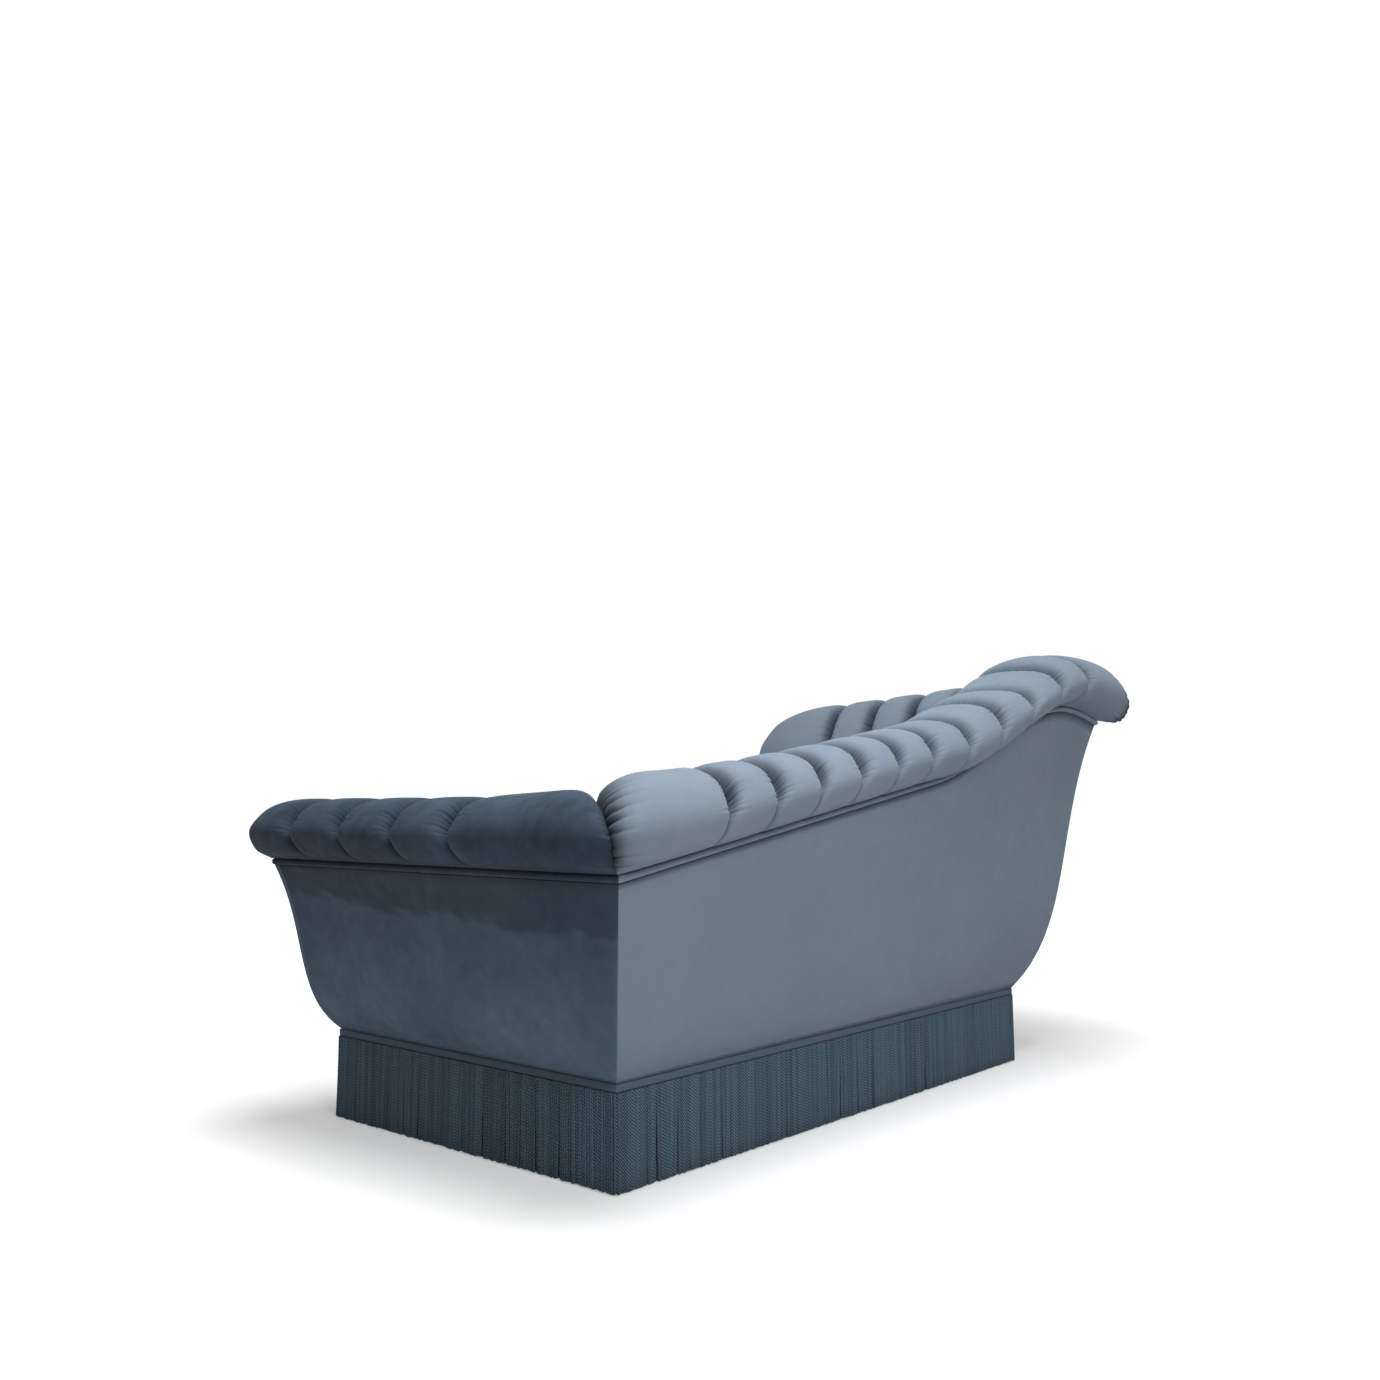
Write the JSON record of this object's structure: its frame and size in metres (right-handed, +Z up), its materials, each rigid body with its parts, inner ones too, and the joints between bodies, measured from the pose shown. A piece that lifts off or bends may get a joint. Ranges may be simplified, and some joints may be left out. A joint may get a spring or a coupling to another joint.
{
  "type": "chaise longue",
  "caption": "Velvet chaise longue with a low foot end, a back that sweeps up to a high head end, a fluted roll on its top edge, flared outside walls and a bullion fringe to the floor.",
  "frame": {"origin": "on the floor, under the middle of the bounding box", "axes": "+X towards the low foot end, +Y towards the back, +Z up; the open front faces -Y"},
  "size_m": [1.678, 0.913, 0.9184],
  "materials": {
    "fluted_velvet": "velvet pile",
    "velvet": "velvet pile",
    "piping": "velvet pile",
    "fringe_header": "woven band",
    "fringe": "twisted cord",
    "frame_timber": "sawn",
    "plywood": "sanded",
    "dark_wood": "satin",
    "glide_plastic": "matt",
    "bolt_steel": "zinc plated",
    "webbing": "woven jute",
    "foam": "open foam",
    "dust_cloth": "woven"
  },
  "bodies": {
    "root": {"back_flutes": "fluted_velvet", "back_fringe": "fringe", "back_inner_panel": "plywood", "back_outer_panel": "plywood", "back_outside_cover": "velvet", "back_piping": "piping", "back_ribs": "frame_timber", "back_seat_rail": "frame_timber", "back_top_rail": "frame_timber", "corner_blocks": "frame_timber", "cross_rails": "frame_timber", "dust_cover": "dust_cloth", "feet": "dark_wood", "foot_bolts": "bolt_steel", "foot_flutes": "fluted_velvet", "foot_fringe": "fringe", "foot_front_facing": "velvet", "foot_inner_panel": "plywood", "foot_outer_panel": "plywood", "foot_outside_cover": "velvet", "foot_piping": "piping", "foot_ribs": "frame_timber", "foot_seat_rail": "frame_timber", "foot_top_rail": "frame_timber", "fringe_header": "fringe_header", "front_batten": "frame_timber", "front_border": "velvet", "front_fringe": "fringe", "front_seat_rail": "frame_timber", "glides": "glide_plastic", "head_flutes": "fluted_velvet", "head_fringe": "fringe", "head_front_facing": "velvet", "head_inner_panel": "plywood", "head_outer_panel": "plywood", "head_outside_cover": "velvet", "head_piping": "piping", "head_ribs": "frame_timber", "head_seat_rail": "frame_timber", "head_top_rail": "frame_timber", "middle_blocks": "frame_timber", "seat_cover": "velvet", "seat_foam": "foam", "webbing_across": "webbing", "webbing_along": "webbing"}
  },
  "joints": []
}
